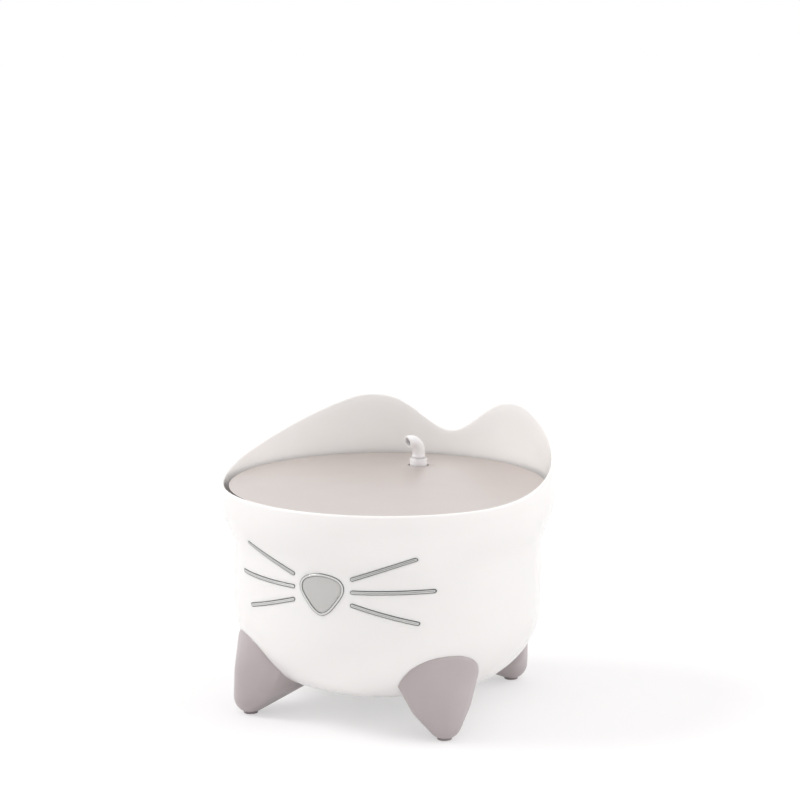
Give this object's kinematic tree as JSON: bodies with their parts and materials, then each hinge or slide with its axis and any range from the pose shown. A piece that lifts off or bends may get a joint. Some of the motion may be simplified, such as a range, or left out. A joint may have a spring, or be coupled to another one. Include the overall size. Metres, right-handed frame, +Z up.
{
  "type": "pet water fountain",
  "caption": "Round pet water fountain with an eared reservoir bowl on feet, submersible pump, filter tray, steel drinking top and swivel spout.",
  "frame": {"origin": "on the ground, under the middle of the bowl", "axes": "+Z up, the face with nose and whiskers looks along -Y, the ears are at +Y"},
  "size_m": [0.2134, 0.2562, 0.1828],
  "materials": {
    "bowl_plastic": "warm white moulded plastic, satin to gloss",
    "trim_plastic": "clear grey moulded trim",
    "window_plastic": "clear grey window plastic",
    "foot_plastic": "mauve grey, satin",
    "pad_rubber": "soft grey rubber",
    "screw_steel": "bright steel",
    "grommet_rubber": "white silicone rubber",
    "pump_plastic": "white moulded plastic",
    "rotor_plastic": "dark grey, plastic bonded magnet",
    "lamp_plastic": "red tinted clear lens",
    "tube_silicone": "milky clear silicone",
    "filter_plastic": "thin white plastic net",
    "carbon_fleece": "grey fleece pocket filled with carbon",
    "resin_fleece": "fleece pocket filled with amber resin beads",
    "top_fleece": "white fleece",
    "top_steel": "satin stainless steel",
    "cord_jacket": "white cord jacket",
    "plug_plastic": "white moulded plug"
  },
  "bodies": {
    "bowl": {"reservoir_bowl": "bowl_plastic", "nose_frame_ring": "trim_plastic", "nose_window": "window_plastic", "whiskers_left": "trim_plastic", "whiskers_right": "trim_plastic", "foot_front_left": "foot_plastic", "foot_front_right": "foot_plastic", "foot_rear_left": "foot_plastic", "foot_rear_right": "foot_plastic", "foot_pads": "pad_rubber", "foot_screws": "screw_steel", "cord_grommet": "grommet_rubber", "cord_run": "cord_jacket", "cord_coil": "cord_jacket", "usb_plug": "plug_plastic", "usb_shell": "screw_steel"},
    "pump": {"pump_housing": "pump_plastic", "pump_cover": "pump_plastic", "pump_shaft": "screw_steel", "lamp_lens": "lamp_plastic", "cord_gland": "pump_plastic", "pump_pads": "pad_rubber", "cord_lead": "cord_jacket"},
    "rotor": {"impeller": "rotor_plastic"},
    "tube": {"riser_tube": "tube_silicone"},
    "tray": {"filter_tray": "bowl_plastic", "flow_cap": "bowl_plastic", "cap_seal": "grommet_rubber"},
    "ring": {"finger_ring": "bowl_plastic"},
    "filter": {"filter_flange": "filter_plastic", "carbon_pockets": "carbon_fleece", "resin_pockets": "resin_fleece", "filter_fleece": "top_fleece"},
    "top": {"steel_top": "top_steel"},
    "spout_seat": {"spout_sleeve": "tube_silicone"},
    "spout": {"spout_elbow": "bowl_plastic"}
  },
  "joints": [
    {"name": "pump_lift", "type": "slide", "parent": "bowl", "child": "pump", "axis": [0, 0, 1], "range_m": [0, 0.1225], "deforming": ["cord_lead"]},
    {"name": "impeller_spin", "type": "hinge", "parent": "pump", "child": "rotor", "pos_m": [0, 0.05, 0.0428], "axis": [0.6157, 0.788, 0], "continuous": true},
    {"name": "tube_lift", "type": "slide", "parent": "pump", "child": "tube", "axis": [0, 0, 1], "range_m": [0, 0.0146]},
    {"name": "tray_lift", "type": "slide", "parent": "tube", "child": "tray", "axis": [0, 0, 1], "range_m": [0, 0.0167]},
    {"name": "ring_fold", "type": "hinge", "parent": "tray", "child": "ring", "pos_m": [0.0189, 0.05, 0.1384], "axis": [1, 0, 0], "range_deg": [0, 90]},
    {"name": "filter_lift", "type": "slide", "parent": "tray", "child": "filter", "axis": [0, 0, 1], "range_m": [0, 0.06]},
    {"name": "top_lift", "type": "slide", "parent": "filter", "child": "top", "axis": [0, 0, 1], "range_m": [0, 0.022]},
    {"name": "spout_lift", "type": "slide", "parent": "top", "child": "spout_seat", "axis": [0, 0, 1], "range_m": [0, 0.0245]},
    {"name": "spout_swivel", "type": "hinge", "parent": "spout_seat", "child": "spout", "pos_m": [0, 0.05, 0.149], "axis": [0, 0, 1], "continuous": true}
  ],
  "couplings": [
    {"joint": "ring_fold", "follows": "filter_lift", "rad_per_m": 26.18}
  ]
}
